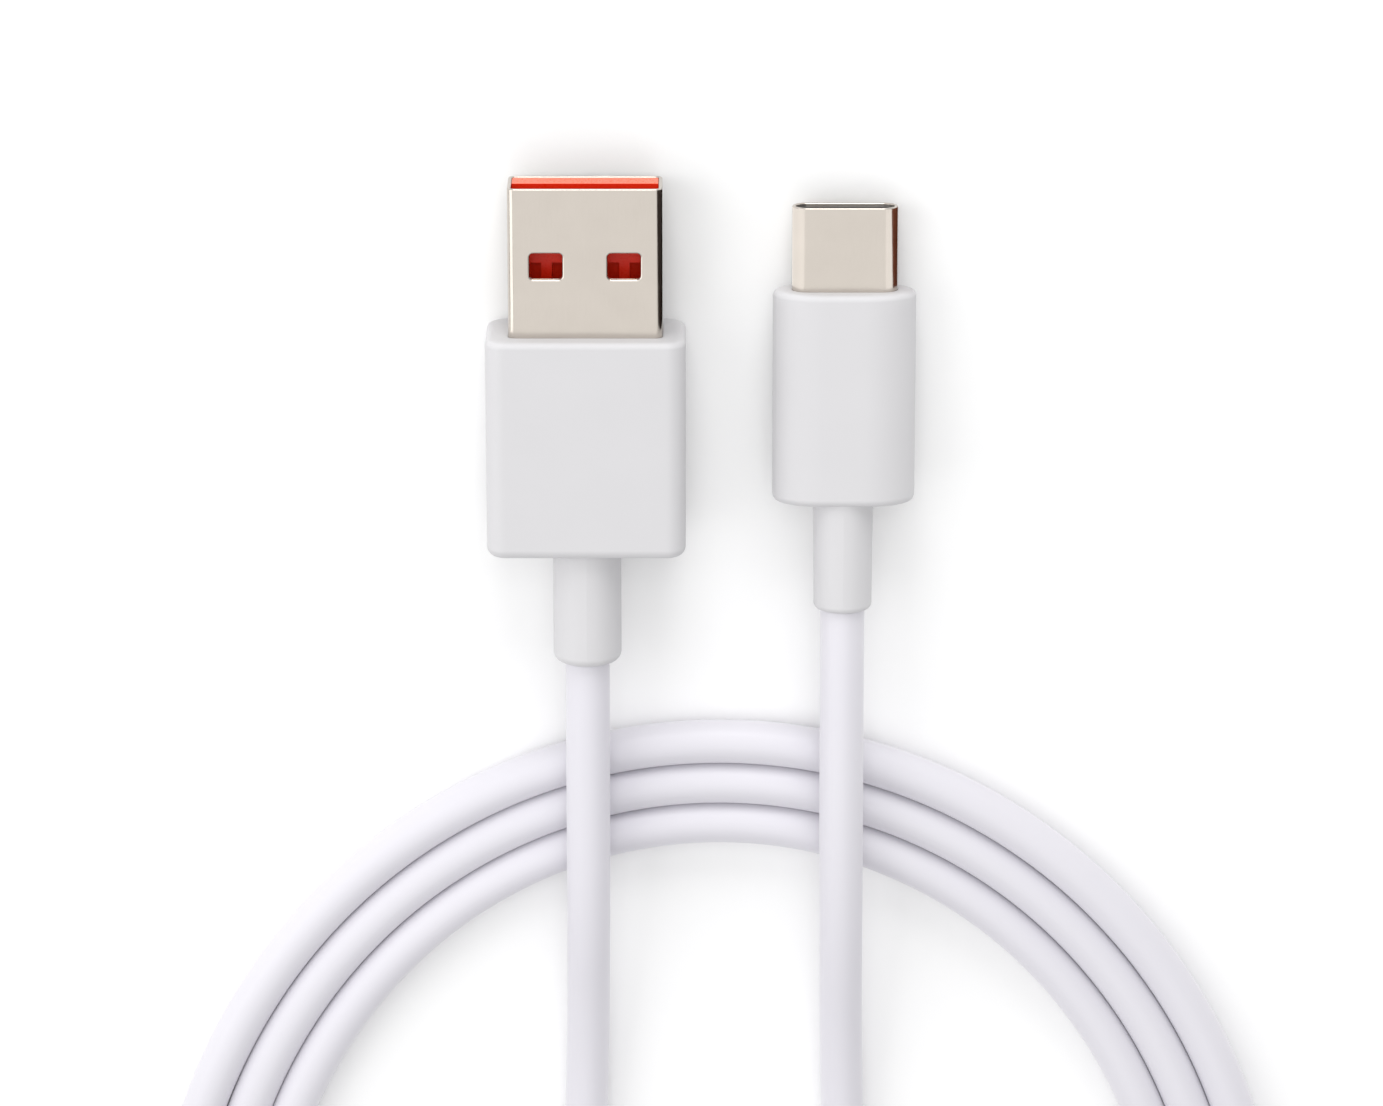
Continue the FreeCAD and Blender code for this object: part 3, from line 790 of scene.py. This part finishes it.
# %% [markdown]
# Moulded plastics differ in colour, gloss and grain, but are made alike: a steel mould gives its own
# texture to the skin, and the melt flows in with faint, broad differences in tone. So one recipe serves
# them all, with the grain in real millimetres. Spark-eroded grain is about 0.03 mm; it is drawn at 0.12
# mm or more here, because anything finer would vanish between the picture's dots.

# %% Moulded and extruded plastics
def moulded(name, light, dark, roughness, grain, depth, ior=1.5, flow=6.0, spread=0.06):
    """light and dark: the colours its tone drifts between; grain, depth and flow in millimetres."""
    material, shader = new_finish(name)
    place = add(material, "TexCoord", {}).outputs["Object"]
    broad = add(material, "TexNoise", {"Vector": place, "Scale": 1 / (flow * MM), "Detail": 2.0})
    tone = add(material, "Mix", {"Factor": broad.outputs["Fac"], 6: linear(dark), 7: linear(light)},
               data_type="RGBA")
    fine = add(material, "TexNoise", {"Vector": place, "Scale": 1 / (grain * MM), "Detail": 3.0,
                                      "Roughness": 0.6})
    gloss = add(material, "MapRange", {"Value": fine.outputs["Fac"], "From Min": 0.3, "From Max": 0.7,
                                       "To Min": roughness - spread, "To Max": roughness + spread})
    skin_relief = add(material, "Bump", {"Height": fine.outputs["Fac"], "Distance": depth * MM,
                                         "Strength": 1.0})
    feed(material, shader, {"Base Color": tone.outputs[2], "Roughness": gloss.outputs["Result"], "IOR": ior,
                            "Normal": skin_relief.outputs["Normal"]})
    return material


# each row: slot, name, the two tones, roughness, grain, depth of the grain, IOR and size of the flow marks
plastics = [
    # thermoplastic rubber: soft, matt, very slightly grey beside the cord
    ("white_tpe", "white_tpe_moulded", "D2D1D3", "CECDCF", 0.55, 0.14, 0.004, 1.5, 6.0),
    # polybutylene terephthalate: hard and slightly glossy, a warm orange; the deeper red in its corners
    # inside the shell is painted shade, given by a second finish further down
    ("orange_pbt", "orange_pbt_moulded", "FF6E40", "FA6236", 0.3, 0.16, 0.002, 1.56, 3.0),
    # glass-filled nylon: black with a dull sparkle of fibres
    ("black_nylon", "black_nylon_moulded", "1B1B1D", "141415", 0.42, 0.12, 0.003, 1.53, 2.0),
    # polyethylene without pigment: milky and waxy
    ("natural_polyethylene", "natural_polyethylene_moulded", "E4E1D6", "D9D6CA", 0.4, 0.2, 0.003, 1.51, 3.0),
    # fired ceramic: fine, dry and almost matt
    ("ceramic_chip", "ceramic_fired", "8C7B66", "7E6E5B", 0.5, 0.12, 0.003, 1.6, 0.6),
]
finishes = {slot: moulded(*recipe) for slot, *recipe in plastics}
# extruded insulation: coloured polyethylene, smooth from the die
for colour, light, dark in (("red", "B3201C", "A51B18"), ("black", "1C1C1C", "151515"),
                            ("white", "E8E6E0", "DEDCD6"), ("green", "1E7A3C", "196B34")):
    name = colour + "_polyethylene_extruded"
    finishes[colour + "_insulation"] = moulded(name, light, dark, 0.36, 0.15, 0.002, 1.51, 2.0)
print("plastics:", len(finishes))

# %% [markdown]
# The cord's jacket is the same rubber, but extruded instead of moulded: it is pulled through a round die,
# which leaves very faint lines along its length, and it takes a soft sheen. The map stored on the cord
# gives the place around it and the metres along it, so the lines can run along the cord through all its
# turns.

# %% The cord's jacket
def extruded_jacket(name, light, dark, roughness):
    """Rubber drawn through a die, with lines along the cord about 0.5 mm apart and 40 mm long."""
    material, shader = new_finish(name)
    along = add(material, "UVMap", {}, uv_map="along").outputs["UV"]
    parts = add(material, "SeparateXYZ", {"Vector": along})
    turn = add(material, "Math", {0: parts.outputs["X"], 1: 2 * math.pi}, operation="MULTIPLY").outputs[0]
    east = add(material, "Math", {0: turn}, operation="COSINE").outputs[0]
    north = add(material, "Math", {0: turn}, operation="SINE").outputs[0]
    drawn = add(material, "CombineXYZ", {"X": east, "Y": north, "Z": parts.outputs["Y"]}).outputs["Vector"]
    # the circle around the cord has a radius of 1 on this map, which stands for 1.75 mm
    lines = add(material, "Mapping", {"Vector": drawn, "Scale": (3.5, 3.5, 25)}).outputs["Vector"]
    die = add(material, "TexNoise", {"Vector": lines, "Scale": 1.0, "Detail": 1.0})
    place = add(material, "TexCoord", {}).outputs["Object"]
    fine = add(material, "TexNoise", {"Vector": place, "Scale": 1 / (0.16 * MM), "Detail": 2.0})
    broad = add(material, "TexNoise", {"Vector": place, "Scale": 1 / (14 * MM), "Detail": 1.0})
    tone = add(material, "Mix", {"Factor": broad.outputs["Fac"], 6: linear(dark), 7: linear(light)},
               data_type="RGBA")
    gloss = add(material, "MapRange", {"Value": die.outputs["Fac"], "From Min": 0.3, "From Max": 0.7,
                                       "To Min": roughness - 0.06, "To Max": roughness + 0.06})
    drawing = add(material, "Bump", {"Height": die.outputs["Fac"], "Distance": 0.02 * MM, "Strength": 0.5})
    grain = add(material, "Bump", {"Height": fine.outputs["Fac"], "Distance": 0.003 * MM,
                                   "Normal": drawing.outputs["Normal"]})
    feed(material, shader, {"Base Color": tone.outputs[2], "Roughness": gloss.outputs["Result"], "IOR": 1.5,
                            "Sheen Weight": 0.3, "Sheen Roughness": 0.5, "Normal": grain.outputs["Normal"]})
    return material


finishes["white_tpe_jacket"] = extruded_jacket("white_tpe_extruded", "DDDBE1", "D9D7DE", 0.46)
print("jacket:", finishes["white_tpe_jacket"].name)

# %% [markdown]
# Metals take their colour from what they reflect, tinted by the metal itself: nickel is a warm grey, tin
# a cooler one, gold deep yellow. What tells them apart from chrome is the surface. Sheet that has been
# rolled keeps very fine lines in one direction, which widen reflections across them.

# %% Metals
def rolled(name, light, dark, roughness, spacing, length, depth):
    """Rolled or drawn metal: lines that far apart and that long, in millimetres, along the plug."""
    material, shader = new_finish(name)
    place = add(material, "TexCoord", {}).outputs["Object"]
    across = 1 / (spacing * MM)
    stretched = add(material, "Mapping", {"Vector": place, "Scale": (across, 1 / (length * MM), across)})
    lines = add(material, "TexNoise", {"Vector": stretched.outputs["Vector"], "Scale": 1.0, "Detail": 3.0})
    broad = add(material, "TexNoise", {"Vector": place, "Scale": 1 / (3 * MM), "Detail": 2.0})
    tone = add(material, "Mix", {"Factor": broad.outputs["Fac"], 6: linear(dark), 7: linear(light)},
               data_type="RGBA")
    gloss = add(material, "MapRange", {"Value": lines.outputs["Fac"], "From Min": 0.3, "From Max": 0.7,
                                       "To Min": roughness - 0.04, "To Max": roughness + 0.05})
    rolling = add(material, "Bump", {"Height": lines.outputs["Fac"], "Distance": depth * MM, "Strength": 0.6})
    feed(material, shader, {"Base Color": tone.outputs[2], "Metallic": 1.0,
                            "Roughness": gloss.outputs["Result"], "Normal": rolling.outputs["Normal"]})
    return material


# rolling lines are 0.02 mm apart on the real sheet and are drawn 0.08 mm apart, so that they show at all
# each row: slot, name, the two tones, roughness, then spacing, length and depth of the lines
metals = [
    ("nickel_plated_steel", "nickel_plated_steel", "CFC7BE", "C8C0B7", 0.2, 0.08, 4.0, 0.0006),
    ("tinned_steel", "tinned_steel", "C9C8C4", "BDBCB8", 0.34, 0.1, 2.5, 0.001),
    ("spring_steel", "spring_steel_stamped", "B9B8B6", "AFAEAC", 0.26, 0.08, 2.0, 0.001),
    ("gold_plated_copper_alloy", "gold_plated_copper_alloy", "F4C870", "EABB5E", 0.18, 0.08, 1.5, 0.0006),
]
finishes.update({slot: rolled(*recipe) for slot, *recipe in metals})
print("metals:", len(metals))

# %% [markdown]
# Two finishes are woven or layered. The braid under the jacket is fine tinned copper wire wound both
# ways, so two sets of slanted stripes cross in it. The circuit board is glass cloth in resin under a
# green lacquer, and the cloth shows through as a faint square weave.

# %% Braid and circuit board
def crossed_stripes(material, place, spacing, ways):
    """The higher of two sets of stripes: their spacing in millimetres and their directions in degrees."""
    heights = []
    for way in ways:
        turned = add(material, "Mapping", {"Vector": place, "Rotation": (0, 0, math.radians(way)),
                                           "Scale": [1 / (spacing * MM)] * 3})
        stripes = add(material, "TexWave", {"Vector": turned.outputs["Vector"], "Scale": 0.32},
                      bands_direction="X")
        heights.append(stripes.outputs["Fac"])
    return add(material, "Math", {0: heights[0], 1: heights[1]}, operation="MAXIMUM").outputs[0]


braid, braid_shader = new_finish("tinned_copper_braided")
braid_place = add(braid, "TexCoord", {}).outputs["Object"]
# braid wires of 0.08 mm lie in flat strands of three
wires = crossed_stripes(braid, braid_place, 0.25, (32, -32))
braid_tone = add(braid, "Mix", {"Factor": wires, 6: linear("6E5F52"), 7: linear("CDBFB0")}, data_type="RGBA")
braid_bump = add(braid, "Bump", {"Height": wires, "Distance": 0.03 * MM})
feed(braid, braid_shader, {"Base Color": braid_tone.outputs[2], "Metallic": 1.0, "Roughness": 0.35,
                           "Normal": braid_bump.outputs["Normal"]})
finishes["tinned_copper_braid"] = braid

board, board_shader = new_finish("glass_epoxy_board_lacquered")
board_place = add(board, "TexCoord", {}).outputs["Object"]
# glass cloth threads are about 0.4 mm apart
cloth = crossed_stripes(board, board_place, 0.4, (0, 90))
board_tone = add(board, "Mix", {"Factor": cloth, 6: linear("0E4A2A"), 7: linear("15603A")}, data_type="RGBA")
board_bump = add(board, "Bump", {"Height": cloth, "Distance": 0.004 * MM})
feed(board, board_shader, {"Base Color": board_tone.outputs[2], "Roughness": 0.3, "IOR": 1.55,
                           "Normal": board_bump.outputs["Normal"]})
finishes["green_circuit_board"] = board
print("finishes:", len(finishes))

# %% [markdown]
# The paper on the table is matt, with a tooth so fine that it only takes the gloss away. Then each piece
# gets its finish: the ready-made ones by the name of the slot they came with, the new ones by the slot
# they were given.

# %% Paper, and every piece gets its finish
white_paper = moulded("white_paper_uncoated", "FBFBFB", "F9F9F9", 0.9, 0.5, 0.01, 1.45, 60.0, 0.04)
paper.data.materials.append(white_paper)


def one_sided_card(name, light, dark, glow):
    """Card stock that is clear from behind; glow is the light that a white one gives back."""
    material, shader = new_finish(name)
    place = add(material, "TexCoord", {}).outputs["Object"]
    fibres = add(material, "TexNoise", {"Vector": place, "Scale": 1 / (2 * MM)})
    tone = add(material, "Mix", {"Factor": fibres.outputs["Fac"], 6: linear(dark), 7: linear(light)},
               data_type="RGBA")
    base = linear("000000") if glow else tone.outputs[2]
    feed(material, shader, {"Base Color": base, "Roughness": 0.9, "Emission Color": tone.outputs[2],
                            "Emission Strength": glow})
    behind = add(material, "NewGeometry", {}).outputs["Backfacing"]
    clear = add(material, "BsdfTransparent", {})
    both = add(material, "MixShader", {0: behind, 1: shader.outputs[0], 2: clear.outputs[0]})
    feed(material, material.node_tree.nodes["Material Output"], {"Surface": both.outputs[0]})
    return material


flags[0].data.materials.append(one_sided_card("dark_brown_card", "2E1A10", "22120A", 0.0))
flags[1].data.materials.append(one_sided_card("red_brown_card", "8C4A2C", "6E3620", 0.0))
white_card = one_sided_card("white_card", "F8F8F8", "F4F4F4", 1.4)
for card in white_cards:
    card.data.materials.append(white_card)

# painted shade: inside the shell a redder copy of the orange, with less gloss, stands in for the light that
# goes from orange to orange many times and deepens the colour to red
painted_shade_orange = moulded("orange_pbt_painted_shade", "F22C0C", "E4260A", 0.3, 0.16, 0.002, 1.56, 3.0)
feed(painted_shade_orange, painted_shade_orange.node_tree.nodes["Principled BSDF"], {"Specular IOR Level": 0.2})
tongue.data.materials.append(finishes["orange_pbt"])
tongue.data.materials.append(painted_shade_orange)
for thing in (cord, flex_a, flex_c):
    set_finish(thing, "white_tpe_jacket")
for thing in frame["nodes"].values():
    thing.material_slots[0].material = finishes[thing.material_slots[0].material.name]
for thing in bpy.data.objects:
    if thing.type == "MESH" and "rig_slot" in thing and not thing.data.materials:
        thing.data.materials.append(finishes[thing["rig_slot"]])

# %% [markdown]
# Last, the hard pieces of both plugs are gathered in one list.

# %% The plugs' hard pieces
hard_pieces = [grip_a, relief_a, shell_a, tongue, grip_c, relief_c, shell_c]
hard_pieces += [frame["nodes"][n] for n in ("usb_a_cord_end", "usb_c_cord_end", "usb_c_housing")]
